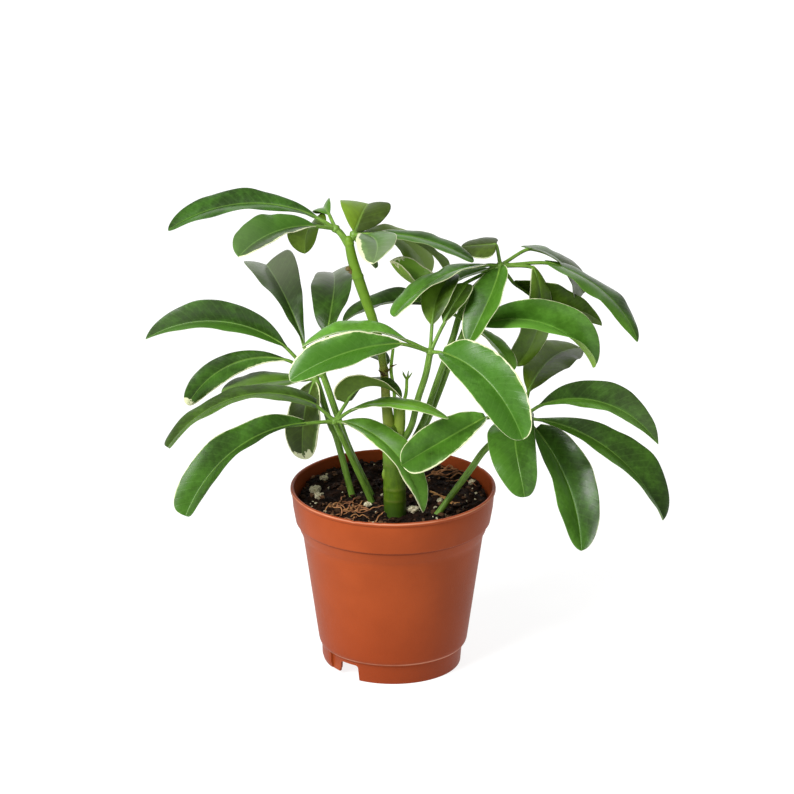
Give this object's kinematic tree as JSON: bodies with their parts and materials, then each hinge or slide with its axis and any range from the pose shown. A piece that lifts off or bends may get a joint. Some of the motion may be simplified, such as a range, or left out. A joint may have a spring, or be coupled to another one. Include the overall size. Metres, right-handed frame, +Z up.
{
  "type": "potted umbrella plant",
  "caption": "Young variegated dwarf umbrella plant with hand-shaped arching leaves on a green trunk, in soil in a round orange-brown plastic nursery pot.",
  "frame": {"origin": "in the plane the pot stands on, under the middle of the whole plant's bounding box", "axes": "+Z up along the pot's axis, +X to the right along the plant's longest spread, -Y towards the side the plant is seen from"},
  "size_m": [0.2678, 0.1394, 0.2515],
  "materials": {
    "pot_plastic": "satin moulded plastic, orange-brown",
    "potting_soil": "damp dark peat and bark crumbs, matt",
    "stem": "smooth green bark with faint leaf scars",
    "foliage": "leathery glossy green with cream margins",
    "perlite": "chalky white crumbs"
  },
  "bodies": {
    "root": {"pot": "pot_plastic", "soil": "potting_soil", "stem": "stem", "leaf_top_left": "foliage", "leaf_top": "foliage", "leaf_left_upper": "foliage", "leaf_left_lower": "foliage", "leaf_centre": "foliage", "leaf_right_upper": "foliage", "leaf_right_middle": "foliage", "leaf_right_lower": "foliage", "leaf_back": "foliage", "perlite_1": "perlite", "perlite_2": "perlite", "perlite_3": "perlite", "perlite_4": "perlite", "perlite_5": "perlite", "perlite_6": "perlite", "perlite_7": "perlite"}
  },
  "joints": []
}
